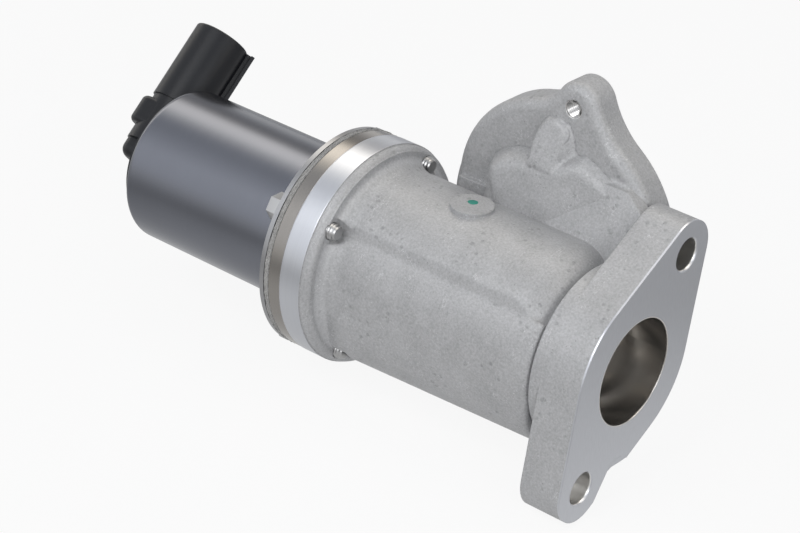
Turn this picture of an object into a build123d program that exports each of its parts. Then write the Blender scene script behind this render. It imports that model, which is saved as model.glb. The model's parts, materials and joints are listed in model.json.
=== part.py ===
from build123d import *
from math import cos, hypot, radians, sin
import os

# An exhaust gas recirculation valve: a cast elbow housing with a poppet valve,
# closed by a spring and pulled open by a solenoid in a steel can.
# Millimetres. The origin is the centre of the inlet bore in the inlet flange's face,
# +X runs out of that bore, +Y out of the manifold flange, +Z up.

# Gas ports
port_radius = 15.0
port_length = 20.0
outlet_x = -43.0
outlet_z = 18.0
outlet_port_depth = 12.0
window_radius = 12.0
window_z = 6.0
chamber_radius = 19.0
chamber_wall = 7.1

# Inlet flange, a two-lobed flange turned about the bore axis
inlet_flange_thickness = 12.4
inlet_flange_angle = 56.8
inlet_bolt_spacing = 66.0
inlet_bolt_hole_radius = 4.5
inlet_lobe_radius = 9.6
inlet_collar_radius = 24.5
inlet_notch_start = 21.5
inlet_notch_corner = 5.0
hole_chamfer = 0.45
upper_hole_depth = 20.0

# Casting body
collar_gap = 3.1
collar_step = 0.02
collar_overlap = 0.5
throat_radius = 21.0
throat_length = 7.5
nose_radius = 12.0
belly_angle = 233.0
belly_inset = 1.6
belly_nose_radius = 1.5
belly_setback = 0.8
groove_depth = 1.5
groove_width = 3.0
lip_turn = 66.0
lip_drop = 3.7
sump_angle = 250.0
sump_radius = 21.2
sump_drop_rear = 8.0
sump_drop_front = 6.1
pad_x = -56.0
pad_radius = 6.0
pad_rise = 0.9

# Actuator flange at the rear of the casting
actuator_flange_radius = 32.0
actuator_flange_thickness = 9.5
actuator_flange_face_x = -93.6
cast_edge_step = 0.3
cast_edge_width = 2.6
flange_root_radius = 4.5

# Manifold flange
manifold_face_y = 28.0
manifold_thickness = 9.5
manifold_radius = 33.6
manifold_shoulder_radius = 30.3
manifold_shoulder_x = -45.5
manifold_shoulder_z = 23.5
manifold_edge_radius = 3.2
manifold_bolt_radius = 36.6
manifold_bolt_angle = 85.3
manifold_lobe_radius = 7.0
manifold_lower_lobe_radius = 6.5
left_flank_radius = 10.7
right_flank_radius = 27.0
manifold_web_radius = 24.0
manifold_hole_radius = 2.5
manifold_through_depth = 17.5
manifold_blind_depth = 10.0

# Elbow neck, its shoulder beside the inlet flange, its rib and its web
neck_base_radius = 23.7
neck_front_radius = 18.0
neck_front_y = 11.3
neck_front_z = 17.0
neck_tilt = 8.0
neck_edge_radius = 4.5
neck_root_radius = 3.0
shoulder_ridge_y = 16.3
shoulder_ridge_z = 38.7
shoulder_slope = 21.0
shoulder_fall_x = -19.0
shoulder_fall = 4.7
shoulder_foot_y = 6.0
shoulder_edge_radius = 1.8
shoulder_root_radius = 1.4
rib_top_x = -43.7
rib_top_z = 50.8
rib_top_radius = 4.2
rib_top_rise = 0.6
rib_foot_x = -45.2
rib_foot_z = 42.0
rib_foot_radius = 4.2
rib_reach = 9.0
rib_slope = 20.0
rib_edge_radius = 1.2
web_left_x = -73.2
web_right_x = -64.0
web_top_z = 23.4
web_rise = 1.7

# Valve and its guide
seat_length = 6.0
seat_pocket_radius = 16.5
seat_hole_radius = 12.0
disc_radius = 14.0
disc_thickness = 3.0
plug_length = 3.0
plug_tip_radius = 8.0
plug_gap = 0.4
stem_radius = 3.5
valve_lift = 6.0
guide_wall_x = -58.0
guide_wall_thickness = 14.0
bushing_radius = 7.0
bushing_length = 9.8
bushing_flange_radius = 9.0
bushing_flange_thickness = 1.5
shield_radius = 14.0
shield_wall = 0.8
shield_length = 8.0
seal_thickness = 3.8
seal_washer_radius = 12.0
seal_washer_thickness = 1.2
rear_cavity_radius = 20.0

# Spring and its retainer on the stem
clip_x = -75.0
clip_thickness = 1.2
clip_groove_depth = 0.6
clip_radius = 5.6
clip_gap_angle = 60.0
retainer_radius = 12.6
retainer_thickness = 1.4
retainer_rim = 1.6
spring_radius = 10.0
spring_wire_radius = 0.8
spring_turns = 5.0

# Plates between the casting and the solenoid
spacer_thickness = 3.9
gasket_thickness = 1.9
mounting_plate_thickness = 1.4
stack_radius = 31.9
gasket_overhang = 0.25
stack_hole_radius = 14.0
plate_stem_hole_radius = 4.4

# Flange screws
screw_circle_radius = 28.0
screw_start_angle = 55.0
screw_count = 4
screw_radius = 2.5
screw_length = 20.0
screw_head_flats = 8.0
screw_head_height = 3.5
screw_spot_radius = 3.6
screw_spot_depth = 4.5

# Solenoid
can_radius = 22.5
can_wall = 1.2
can_length = 60.7
can_edge_radius = 2.4
can_lip_radius = 19.0
flux_plate_front = 5.0
flux_plate_rear = 4.0
sleeve_radius = 8.6
sleeve_wall = 0.5
armature_length = 24.0
armature_setback = 3.2
magnet_gap = 7.0
shim_thickness = 0.5
bobbin_wall = 1.2
bobbin_flange_thickness = 1.8
bobbin_clearance = 0.7
winding_clearance = 1.2
bobbin_length = 42.2
wave_washer_thickness = 1.2
terminal_clearance = 0.7

# End cap and connector, turned about the actuator axis
connector_angle = 43.2
connector_offset = 10.8
connector_reach = 39.7
barrel_radius = 8.6
barrel_wall = 1.5
socket_depth = 15.5
socket_mouth_depth = 8.5
socket_step = 0.3
barrel_foot = 15.0
barrel_foot_step = 0.5
barrel_edge_radius = 0.6
lock_rib_angle = 42.0
lock_rib_width = 5.0
lock_rib_height = 2.2
lock_rib_undercut = 1.1
lock_rib_foot = 17.0
cap_step = 2.2
base_half_width = 8.0
base_back = 9.2
base_low = 4.5
base_high = 13.2
base_corner_radius = 4.5
base_edge_radius = 1.5
foot_half_width = 6.2
foot_back = 7.0
foot_low = -5.5
foot_corner_radius = 4.0
foot_edge_radius = 3.0
cap_ring_radius = 1.0
terminal_spacing = 6.0
terminal_width = 2.2
terminal_thickness = 0.8
terminal_height = 31.0
terminal_level = 14.0

# Fits
seat_fit = 0.03
running_fit = 0.05
stem_clearance = 0.5

# Stations along the actuator axis
seat_back_x = -(port_length + seat_length)
flange_back_x = -inlet_flange_thickness
collar_back_x = flange_back_x - collar_gap
body_front_x = collar_back_x + collar_overlap
body_radius = chamber_radius + chamber_wall
belly_radius = body_radius - belly_inset
belly_front_x = collar_back_x - belly_setback
groove_radius = belly_radius - groove_depth
lip_reach = body_radius - lip_drop
guide_back_x = guide_wall_x - guide_wall_thickness
actuator_flange_front_x = actuator_flange_face_x + actuator_flange_thickness
spacer_back_x = actuator_flange_face_x - spacer_thickness
gasket_back_x = spacer_back_x - gasket_thickness
plate_back_x = gasket_back_x - mounting_plate_thickness
can_back_x = plate_back_x - can_length
flux_front_back_x = plate_back_x - flux_plate_front
bobbin_back_x = flux_front_back_x - bobbin_length
flux_rear_back_x = bobbin_back_x - flux_plate_rear
armature_front_x = plate_back_x - armature_setback
armature_back_x = armature_front_x - armature_length
pole_front_x = armature_back_x - magnet_gap
cap_front_x = flux_rear_back_x - wave_washer_thickness
lip_front_x = can_back_x + can_wall
retainer_front_x = clip_x - clip_thickness
retainer_back_x = retainer_front_x - retainer_thickness
connector_x = can_back_x - connector_offset
manifold_back_y = manifold_face_y - manifold_thickness
pad_top_z = body_radius + pad_rise


def across(x):
    """A sketch plane square to the actuator axis, its x along +Y and its y along +Z."""
    return Plane.YZ.offset(x)


def facing_outlet(y):
    """A sketch plane square to +Y, its x along +X and its y along +Z."""
    return Plane.XZ.offset(-y)


def disc_between(front_x, back_x, radius, mode=Mode.ADD):
    """A round solid about the actuator axis, added to the part that is being built."""
    with BuildSketch(across(back_x)) as outline:
        Circle(radius)
    extrude(outline.sketch, amount=front_x - back_x, mode=mode)


def bore_between(front_x, back_x, radius):
    """A round hole about the actuator axis, cut from the part that is being built."""
    disc_between(front_x, back_x, radius, mode=Mode.SUBTRACT)


os.makedirs("parts", exist_ok=True)

# Inlet flange: a round collar about the bore with a lobe at each bolt, and a notch beside
# the lower lobe that clears the head of a neighbouring bolt
lobe_reach = inlet_bolt_spacing / 2
notch_height = inlet_collar_radius
notch_length = 2 * inlet_lobe_radius + lobe_reach
notch_u = -inlet_notch_start - notch_length / 2
notch_v = -inlet_lobe_radius - notch_height / 2
flange_cos = cos(radians(inlet_flange_angle))
flange_sin = sin(radians(inlet_flange_angle))
notch_y = notch_u * flange_cos - notch_v * flange_sin
notch_z = notch_u * flange_sin + notch_v * flange_cos
with BuildPart() as inlet_flange:
    with BuildSketch(across(-inlet_flange_thickness)):
        Circle(inlet_collar_radius)
        with PolarLocations(lobe_reach, 2, start_angle=inlet_flange_angle):
            Circle(inlet_lobe_radius)
        make_hull()
        with Locations((notch_y, notch_z)):
            RectangleRounded(
                notch_length,
                notch_height,
                inlet_notch_corner,
                rotation=inlet_flange_angle,
                mode=Mode.SUBTRACT,
            )
    extrude(amount=inlet_flange_thickness)
    disc_between(flange_back_x + 1.0, collar_back_x, inlet_collar_radius - collar_step)
    disc_between(flange_back_x + 1.0, flange_back_x - throat_length, throat_radius)


def round_body(front_x, nose, radius):
    """A turned body on the actuator axis with a rounded front end, up to the actuator flange."""
    with BuildPart() as body:
        disc_between(front_x, actuator_flange_front_x - 1.0, radius)
        fillet(body.faces().sort_by(Axis.X)[-1].edges(), radius=nose)
    return body.part


def root_fillet(radius):
    """The turned fillet between a round body and the actuator flange."""
    root_end_x = actuator_flange_front_x + flange_root_radius
    root_radius = radius + flange_root_radius
    with BuildPart() as root:
        with BuildSketch(Plane.XY):
            with BuildLine():
                RadiusArc((root_end_x, radius), (actuator_flange_front_x, root_radius), flange_root_radius)
                Polyline(
                    (actuator_flange_front_x, root_radius),
                    (actuator_flange_front_x - 1.0, root_radius),
                    (actuator_flange_front_x - 1.0, 0),
                    (root_end_x, 0),
                    (root_end_x, radius),
                )
            make_face()
        revolve(axis=Axis.X)
    return root.part


# Upper body: a cylinder on the actuator axis with a domed front end, kept above the belly's
# parting plane, with a sloping lip where it stands proud of the belly
belly_y = cos(radians(belly_angle))
belly_z = sin(radians(belly_angle))
parting_plane = Plane(origin=(0, 0, 0), z_dir=(0, belly_y, belly_z))
with BuildPart() as upper_body:
    add(round_body(body_front_x, nose_radius, body_radius))
    for lip_angle in (belly_angle - lip_turn, belly_angle + lip_turn):
        lip_y = cos(radians(lip_angle))
        lip_z = sin(radians(lip_angle))
        lip_plane = Plane(origin=(0, lip_reach * lip_y, lip_reach * lip_z), z_dir=(0, lip_y, lip_z))
        split(bisect_by=lip_plane, keep=Keep.BOTTOM)
    add(root_fillet(body_radius))
    split(bisect_by=parting_plane, keep=Keep.BOTTOM)

# Belly: the lower side of the casting, a little smaller than the upper body
with BuildPart() as belly:
    add(round_body(belly_front_x, belly_nose_radius, belly_radius))
    disc_between(collar_back_x + collar_overlap, belly_front_x - groove_width, groove_radius)
    add(root_fillet(belly_radius))
    split(bisect_by=parting_plane, keep=Keep.TOP)

# Sump: the draughted hump along the bottom, dropped more at the rear than at the front
sump_y = cos(radians(sump_angle))
sump_z = sin(radians(sump_angle))
with BuildPart() as sump:
    with BuildSketch(across(actuator_flange_front_x - 1.0)):
        with Locations((sump_drop_rear * sump_y, sump_drop_rear * sump_z)):
            Circle(sump_radius)
    with BuildSketch(across(belly_front_x)):
        with Locations((sump_drop_front * sump_y, sump_drop_front * sump_z)):
            Circle(sump_radius)
    loft()
    fillet(sump.faces().sort_by(Axis.X)[-1].edges(), radius=belly_nose_radius)

# Actuator flange: a turned rim and an as-cast front edge
with BuildPart() as actuator_flange:
    with BuildSketch(Plane.XY):
        with BuildLine():
            cast_radius = actuator_flange_radius - cast_edge_step
            cast_start_x = actuator_flange_front_x - cast_edge_width
            edge_run = cast_edge_width - cast_edge_step
            Polyline(
                (actuator_flange_front_x, 0),
                (actuator_flange_face_x, 0),
                (actuator_flange_face_x, actuator_flange_radius),
                (cast_start_x, actuator_flange_radius),
                (cast_start_x, cast_radius),
                (actuator_flange_front_x - edge_run, cast_radius),
            )
            RadiusArc(
                (actuator_flange_front_x - edge_run, cast_radius),
                (actuator_flange_front_x, cast_radius - edge_run),
                edge_run,
            )
            Line((actuator_flange_front_x, cast_radius - edge_run), (actuator_flange_front_x, 0))
        make_face()
    revolve(axis=Axis.X)

# Manifold flange: a disc about the outlet, a fuller upper shoulder and three bolt lobes, the
# top one blended into the disc by concave flanks
manifold_bolt_places = []
for step in range(3):
    bolt_angle = radians(manifold_bolt_angle + step * 120.0)
    bolt_x = outlet_x + manifold_bolt_radius * cos(bolt_angle)
    bolt_z = outlet_z + manifold_bolt_radius * sin(bolt_angle)
    manifold_bolt_places.append((bolt_x, bolt_z))
with BuildPart() as manifold_flange:
    with BuildSketch(facing_outlet(manifold_face_y)):
        with Locations((outlet_x, outlet_z)):
            Circle(manifold_radius)
        with BuildSketch(mode=Mode.PRIVATE) as upper_shoulder:
            with Locations((manifold_shoulder_x, manifold_shoulder_z)):
                Circle(manifold_shoulder_radius)
            with Locations((manifold_bolt_places[0][0] - manifold_shoulder_radius, manifold_shoulder_z)):
                Rectangle(2 * manifold_shoulder_radius, 3 * manifold_shoulder_radius, mode=Mode.INTERSECT)
        add(upper_shoulder.sketch)
        with Locations(manifold_bolt_places[0]):
            Circle(manifold_lobe_radius)
        for bolt_place in manifold_bolt_places[1:]:
            with BuildSketch(mode=Mode.PRIVATE) as lower_lobe:
                with Locations((outlet_x, outlet_z)):
                    Circle(manifold_web_radius)
                with Locations(bolt_place):
                    Circle(manifold_lower_lobe_radius)
                make_hull()
            add(lower_lobe.sketch)
    extrude(amount=manifold_thickness)
    corners = manifold_flange.edges().filter_by(Axis.Y).sort_by(Axis.Z)
    fillet(corners[-2:].sort_by(Axis.X)[0], radius=left_flank_radius)
    corners = manifold_flange.edges().filter_by(Axis.Y).sort_by(Axis.Z)
    right_corner = corners.filter_by(lambda edge: edge.center().X > manifold_bolt_places[0][0])
    fillet(right_corner.sort_by(Axis.Z)[-1], radius=right_flank_radius)
    fillet(manifold_flange.faces().sort_by(Axis.Y)[0].edges(), radius=manifold_edge_radius)

# Elbow neck: a round hump that carries the outlet passage up to the manifold flange
neck_front_plane = Plane(
    origin=(outlet_x, neck_front_y, neck_front_z),
    x_dir=(1, 0, 0),
    z_dir=(0, -cos(radians(neck_tilt)), sin(radians(neck_tilt))),
)
with BuildPart() as neck:
    with BuildSketch(facing_outlet(manifold_back_y + 1.0)):
        with Locations((outlet_x, outlet_z)):
            Circle(neck_base_radius)
    with BuildSketch(neck_front_plane):
        Circle(neck_front_radius)
    loft()
    fillet(neck.faces().sort_by(Axis.Y)[0].edges(), radius=neck_edge_radius)

# Shoulder: a sloping wall between the neck and the inlet flange, with a rounded ridge
with BuildPart() as shoulder:
    with BuildSketch(facing_outlet(manifold_back_y + 1.0)):
        with BuildLine():
            Polyline(
                (outlet_x, 0),
                (outlet_x, shoulder_ridge_z),
                (shoulder_fall_x, shoulder_ridge_z),
                (flange_back_x + 0.5, shoulder_ridge_z - shoulder_fall),
                (flange_back_x + 0.5, 0),
                close=True,
            )
        make_face()
    extrude(amount=manifold_back_y + 1.0 - shoulder_foot_y)
    slope = radians(shoulder_slope)
    shoulder_front = Plane(
        origin=(outlet_x, shoulder_ridge_y, shoulder_ridge_z),
        z_dir=(0, -cos(slope), sin(slope)),
    )
    split(bisect_by=shoulder_front, keep=Keep.BOTTOM)
    ridge = shoulder.faces().filter_by(lambda face: face.normal_at().Y < -0.5)[0].edges()
    fillet(ridge.group_by(Axis.Z)[-1] + ridge.group_by(Axis.Z)[-2], radius=shoulder_edge_radius)

# Rib below the top bolt lobe: a gusset that narrows towards its rounded top
with BuildPart() as lobe_rib:
    with BuildSketch(facing_outlet(manifold_back_y + 1.0)):
        with Locations((rib_top_x, rib_top_z - rib_top_radius)):
            Circle(rib_top_radius)
        with Locations((rib_foot_x, rib_foot_z)):
            Circle(rib_foot_radius)
        make_hull()
    extrude(amount=rib_reach)
    slope = radians(rib_slope)
    rib_front = Plane(
        origin=(rib_top_x, manifold_back_y - rib_top_rise, rib_top_z),
        z_dir=(0, -cos(slope), sin(slope)),
    )
    split(bisect_by=rib_front, keep=Keep.BOTTOM)
    front_edges = lobe_rib.faces().filter_by(lambda face: face.normal_at().Z > 0.2 and face.normal_at().Y < -0.8)
    fillet(front_edges[0].edges().sort_by(Axis.Z)[-3:], radius=rib_edge_radius)

# Valve housing: the casting, then its machined bores
with BuildPart() as valve_housing:
    add(upper_body.part)
    add(belly.part)
    add(sump.part)
    add(actuator_flange.part)
    add(inlet_flange.part)
    add(manifold_flange.part)
    add(neck.part)
    add(shoulder.part)
    add(lobe_rib.part)
    with BuildSketch(facing_outlet(manifold_back_y + 1.0)):
        with Locations(((web_left_x + web_right_x) / 2, web_top_z / 2)):
            Rectangle(web_right_x - web_left_x, web_top_z)
    extrude(amount=web_rise + 1.0)
    with BuildSketch(Plane.XY.offset(body_radius / 2)):
        with Locations((pad_x, 0)):
            Circle(pad_radius)
    extrude(amount=pad_top_z - body_radius / 2)
    # Roots of the neck and the shoulder on the manifold flange's back
    plate_edges = valve_housing.edges().filter_by(lambda edge: abs(edge.center().Y - manifold_back_y) < 0.01)
    neck_root = plate_edges.filter_by(
        lambda edge: hypot(edge.center().X - outlet_x, edge.center().Z - outlet_z) < neck_base_radius + 1.0
    )
    fillet(neck_root.sort_by(Axis.X)[0], radius=neck_root_radius)
    plate_edges = valve_housing.edges().filter_by(lambda edge: abs(edge.center().Y - manifold_back_y) < 0.01)
    shoulder_root = plate_edges.filter_by(lambda edge: abs(edge.center().Z - shoulder_ridge_z) < 0.01)
    fillet(shoulder_root.sort_by(SortBy.LENGTH)[-1], radius=shoulder_root_radius)
    # Inlet bore with the seat pocket, chamber, guide bore and rear cavity
    bore_between(1.0, -port_length - 1.0, port_radius)
    bore_between(-port_length, seat_back_x - 1.0, seat_pocket_radius)
    bore_between(seat_back_x, guide_wall_x, chamber_radius)
    bore_between(guide_wall_x + 1.0, guide_back_x - 1.0, bushing_radius + seat_fit)
    seal_seat_x = guide_back_x + seal_washer_thickness
    bore_between(seal_seat_x, guide_back_x - 1.0, seal_washer_radius + seat_fit)
    bore_between(guide_back_x, actuator_flange_face_x - 1.0, rear_cavity_radius)
    # Outlet port and the window between it and the chamber
    with BuildSketch(facing_outlet(manifold_face_y + 1.0)):
        with Locations((outlet_x, outlet_z)):
            Circle(port_radius)
    extrude(amount=outlet_port_depth + 1.0, mode=Mode.SUBTRACT)
    with BuildSketch(facing_outlet(manifold_back_y)):
        with Locations((outlet_x, window_z)):
            Circle(window_radius)
    extrude(amount=manifold_back_y, mode=Mode.SUBTRACT)
    # Inlet flange bolt holes: the lower one goes through, the upper one ends in the casting
    with BuildSketch(across(1.0)):
        with PolarLocations(lobe_reach, 2, start_angle=inlet_flange_angle):
            Circle(inlet_bolt_hole_radius)
    extrude(amount=-upper_hole_depth - 1.0, mode=Mode.SUBTRACT)
    face_rims = valve_housing.faces().sort_by(Axis.X)[-1].edges().filter_by(GeomType.CIRCLE)
    bolt_rims = face_rims.filter_by(lambda rim: rim.radius < inlet_bolt_hole_radius + 0.01)
    chamfer(bolt_rims, length=hole_chamfer)
    # Tapped holes for the flange screws, each with a spot face for the screw's tip
    with BuildSketch(across(actuator_flange_face_x - 1.0)):
        with PolarLocations(screw_circle_radius, screw_count, start_angle=screw_start_angle):
            Circle(screw_radius + seat_fit)
    extrude(amount=actuator_flange_thickness + 2.0, mode=Mode.SUBTRACT)
    with BuildSketch(across(actuator_flange_front_x)):
        with PolarLocations(screw_circle_radius, screw_count, start_angle=screw_start_angle):
            Circle(screw_spot_radius)
    extrude(amount=screw_spot_depth, mode=Mode.SUBTRACT)
    # Manifold bolt holes: the top one goes through its lobe, the lower two are blind
    hole_depths = (manifold_through_depth, manifold_blind_depth, manifold_blind_depth)
    for bolt_place, hole_depth in zip(manifold_bolt_places, hole_depths):
        with BuildSketch(facing_outlet(manifold_face_y + 1.0)):
            with Locations(bolt_place):
                Circle(manifold_hole_radius)
        extrude(amount=hole_depth + 1.0, mode=Mode.SUBTRACT)

valve_housing.part.label = "valve_housing"
export_step(valve_housing.part, "parts/valve_housing.step")

# Seat ring, pressed into the inner end of the inlet bore
with BuildPart() as seat_ring:
    disc_between(-port_length, seat_back_x, seat_pocket_radius - seat_fit)
    bore_between(-port_length, seat_back_x, seat_hole_radius)
    chamfer(seat_ring.faces().sort_by(Axis.X)[-1].edges().sort_by(SortBy.RADIUS)[0], length=1.2)
seat_ring.part.label = "seat_ring"
export_step(seat_ring.part, "parts/seat_ring.step")

# Valve disc: flat where it closes on the seat, with a tapered plug that enters the seat
disc_back_x = seat_back_x - disc_thickness
with BuildPart() as valve_disc:
    disc_between(seat_back_x, disc_back_x, disc_radius)
    with BuildSketch(across(seat_back_x)):
        Circle(seat_hole_radius - plug_gap)
    with BuildSketch(across(seat_back_x + plug_length)):
        Circle(plug_tip_radius)
    loft()
    fillet(valve_disc.faces().sort_by(Axis.X)[0].edges(), radius=1.0)
    bore_between(seat_back_x + plug_length, disc_back_x, stem_radius + seat_fit)
valve_disc.part.label = "valve_disc"
export_step(valve_disc.part, "parts/valve_disc.step")

# Valve stem, from the plug's tip to the back of the armature, with a groove for the clip
with BuildPart() as valve_stem:
    disc_between(seat_back_x + plug_length, armature_back_x, stem_radius)
    chamfer(valve_stem.faces().sort_by(Axis.X)[0].edges(), length=0.4)
    with BuildSketch(across(retainer_front_x)):
        Circle(stem_radius + 1.0)
        Circle(stem_radius - clip_groove_depth, mode=Mode.SUBTRACT)
    extrude(amount=clip_thickness, mode=Mode.SUBTRACT)
valve_stem.part.label = "valve_stem"
export_step(valve_stem.part, "parts/valve_stem.step")

# Stem shield: a cup round the stem that keeps soot off the bushing
shield_back_x = guide_wall_x
shield_front_x = shield_back_x + shield_length
with BuildPart() as stem_shield:
    disc_between(shield_front_x, shield_back_x, shield_radius)
    bore_between(shield_front_x, shield_back_x + shield_wall, shield_radius - shield_wall)
    bore_between(shield_front_x, shield_back_x, bushing_radius + seat_fit)
stem_shield.part.label = "stem_shield"
export_step(stem_shield.part, "parts/stem_shield.step")

# Stem bushing: a flanged bush that clamps the shield against the guide wall
flange_seat_x = shield_back_x + shield_wall
bushing_back_x = flange_seat_x - bushing_length
with BuildPart() as stem_bushing:
    disc_between(flange_seat_x, bushing_back_x, bushing_radius)
    disc_between(flange_seat_x + bushing_flange_thickness, flange_seat_x, bushing_flange_radius)
    bore_between(flange_seat_x + bushing_flange_thickness, bushing_back_x, stem_radius + running_fit)
    chamfer(stem_bushing.faces().sort_by(Axis.X)[-1].edges().sort_by(SortBy.RADIUS)[-1], length=0.5)
stem_bushing.part.label = "stem_bushing"
export_step(stem_bushing.part, "parts/stem_bushing.step")

# Stem seal behind the bushing, held by a staked washer
seal_back_x = guide_back_x + seal_washer_thickness
with BuildPart() as stem_seal:
    disc_between(bushing_back_x, seal_back_x, bushing_radius)
    bore_between(bushing_back_x, seal_back_x, stem_radius + running_fit)
stem_seal.part.label = "stem_seal"
export_step(stem_seal.part, "parts/stem_seal.step")

with BuildPart() as seal_washer:
    disc_between(seal_back_x, guide_back_x, seal_washer_radius)
    bore_between(seal_back_x, guide_back_x, stem_radius + stem_clearance)
seal_washer.part.label = "seal_washer"
export_step(seal_washer.part, "parts/seal_washer.step")

# Split clip in the stem's groove, and the spring retainer that bears on it
with BuildPart() as stem_clip:
    with BuildSketch(across(retainer_front_x)):
        Circle(clip_radius)
        Circle(stem_radius - clip_groove_depth + seat_fit, mode=Mode.SUBTRACT)
        with BuildLine():
            half_gap = clip_gap_angle / 2
            reach = 2 * clip_radius
            Polyline(
                (0, 0),
                (reach * cos(radians(half_gap)), reach * sin(radians(half_gap))),
                (reach * cos(radians(half_gap)), -reach * sin(radians(half_gap))),
                close=True,
            )
        make_face(mode=Mode.SUBTRACT)
    extrude(amount=clip_thickness)
stem_clip.part.label = "stem_clip"
export_step(stem_clip.part, "parts/stem_clip.step")

rim_back_x = retainer_back_x - retainer_rim
with BuildPart() as spring_retainer:
    disc_between(retainer_front_x, retainer_back_x, retainer_radius)
    with BuildSketch(across(rim_back_x)):
        Circle(spring_radius - spring_wire_radius - 0.3)
        Circle(stem_radius + 1.2, mode=Mode.SUBTRACT)
    extrude(amount=retainer_rim)
    bore_between(retainer_front_x, rim_back_x, stem_radius + seat_fit)
spring_retainer.part.label = "spring_retainer"
export_step(spring_retainer.part, "parts/spring_retainer.step")

# Return spring between the retainer and the mounting plate
spring_front_x = retainer_back_x
spring_back_x = gasket_back_x
coil_height = spring_front_x - spring_back_x - 2 * spring_wire_radius
coil_start_x = spring_back_x + spring_wire_radius
with BuildPart() as return_spring:
    with BuildLine() as coil:
        Helix(
            pitch=coil_height / spring_turns,
            height=coil_height,
            radius=spring_radius,
            center=(coil_start_x, 0, 0),
            direction=(1, 0, 0),
        )
    with BuildSketch(Plane(origin=coil.line @ 0, z_dir=coil.line % 0)):
        Circle(spring_wire_radius)
    sweep(is_frenet=True)
return_spring.part.label = "return_spring"
export_step(return_spring.part, "parts/return_spring.step")


def stack_plate(front_x, back_x, outer_radius, hole_radius, screw_hole_radius):
    """A round plate of the flange stack, with a centre hole and the screw holes."""
    with BuildPart() as plate:
        disc_between(front_x, back_x, outer_radius)
        bore_between(front_x, back_x, hole_radius)
        with BuildSketch(across(back_x)) as holes:
            with PolarLocations(screw_circle_radius, screw_count, start_angle=screw_start_angle):
                Circle(screw_hole_radius)
        extrude(holes.sketch, amount=front_x - back_x, mode=Mode.SUBTRACT)
    return plate.part


# Spacer, gasket and mounting plate between the casting and the solenoid
spacer_plate = stack_plate(
    actuator_flange_face_x, spacer_back_x, stack_radius, stack_hole_radius, screw_radius + stem_clearance
)
spacer_plate.label = "spacer_plate"
export_step(spacer_plate, "parts/spacer_plate.step")

flange_gasket = stack_plate(
    spacer_back_x,
    gasket_back_x,
    stack_radius + gasket_overhang,
    stack_hole_radius,
    screw_radius + stem_clearance,
)
flange_gasket.label = "flange_gasket"
export_step(flange_gasket, "parts/flange_gasket.step")

mounting_plate = stack_plate(
    gasket_back_x, plate_back_x, stack_radius, plate_stem_hole_radius, screw_radius + stem_clearance
)
mounting_plate.label = "mounting_plate"
export_step(mounting_plate, "parts/mounting_plate.step")

# Four hexagon head screws through the stack into the casting
with BuildPart() as flange_screws:
    with BuildSketch(across(plate_back_x - screw_head_height)):
        with PolarLocations(screw_circle_radius, screw_count, start_angle=screw_start_angle):
            RegularPolygon(screw_head_flats / 2, 6, major_radius=False)
    extrude(amount=screw_head_height)
    with BuildSketch(across(plate_back_x)):
        with PolarLocations(screw_circle_radius, screw_count, start_angle=screw_start_angle):
            Circle(screw_radius)
    extrude(amount=screw_length)
    chamfer(flange_screws.faces().sort_by(Axis.X)[-screw_count:].edges(), length=0.5)
flange_screws.part.label = "flange_screws"
export_step(flange_screws.part, "parts/flange_screws.step")

# Solenoid can: a drawn tube whose rear edge is rolled in over the end cap
can_bore = can_radius - can_wall
with BuildPart() as solenoid_can:
    disc_between(plate_back_x, can_back_x, can_radius)
    fillet(solenoid_can.faces().sort_by(Axis.X)[0].edges(), radius=can_edge_radius)
    bore_between(plate_back_x, lip_front_x, can_bore)
    bore_between(plate_back_x, can_back_x, can_lip_radius)
solenoid_can.part.label = "solenoid_can"
export_step(solenoid_can.part, "parts/solenoid_can.step")

# Guide sleeve, in which the armature slides and the pole core is fixed
sleeve_bore = sleeve_radius - sleeve_wall
with BuildPart() as guide_sleeve:
    disc_between(plate_back_x, flux_rear_back_x, sleeve_radius)
    bore_between(plate_back_x, flux_rear_back_x, sleeve_bore)
guide_sleeve.part.label = "guide_sleeve"
export_step(guide_sleeve.part, "parts/guide_sleeve.step")

# Flux plates at the two ends of the coil
lead_width = terminal_spacing + terminal_width
lead_radius = hypot(terminal_level + terminal_thickness, lead_width / 2)
connector_plane = Plane(
    origin=(connector_x, 0, 0),
    x_dir=(1, 0, 0),
    z_dir=(0, cos(radians(connector_angle)), sin(radians(connector_angle))),
)
with BuildPart() as front_flux_plate:
    disc_between(plate_back_x, flux_front_back_x, can_bore - seat_fit)
    bore_between(plate_back_x, flux_front_back_x, sleeve_radius + seat_fit)
front_flux_plate.part.label = "front_flux_plate"
export_step(front_flux_plate.part, "parts/front_flux_plate.step")

with BuildPart() as rear_flux_plate:
    disc_between(bobbin_back_x, flux_rear_back_x, can_bore - seat_fit)
    bore_between(bobbin_back_x, flux_rear_back_x, sleeve_radius + seat_fit)
    with BuildSketch(connector_plane.offset(terminal_level - 1.0)):
        with Locations((bobbin_back_x - connector_x - flux_plate_rear / 2, 0)):
            Rectangle(flux_plate_rear + 2.0, lead_width + 2.0)
    extrude(amount=terminal_thickness + 2.0, mode=Mode.SUBTRACT)
rear_flux_plate.part.label = "rear_flux_plate"
export_step(rear_flux_plate.part, "parts/rear_flux_plate.step")

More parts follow.
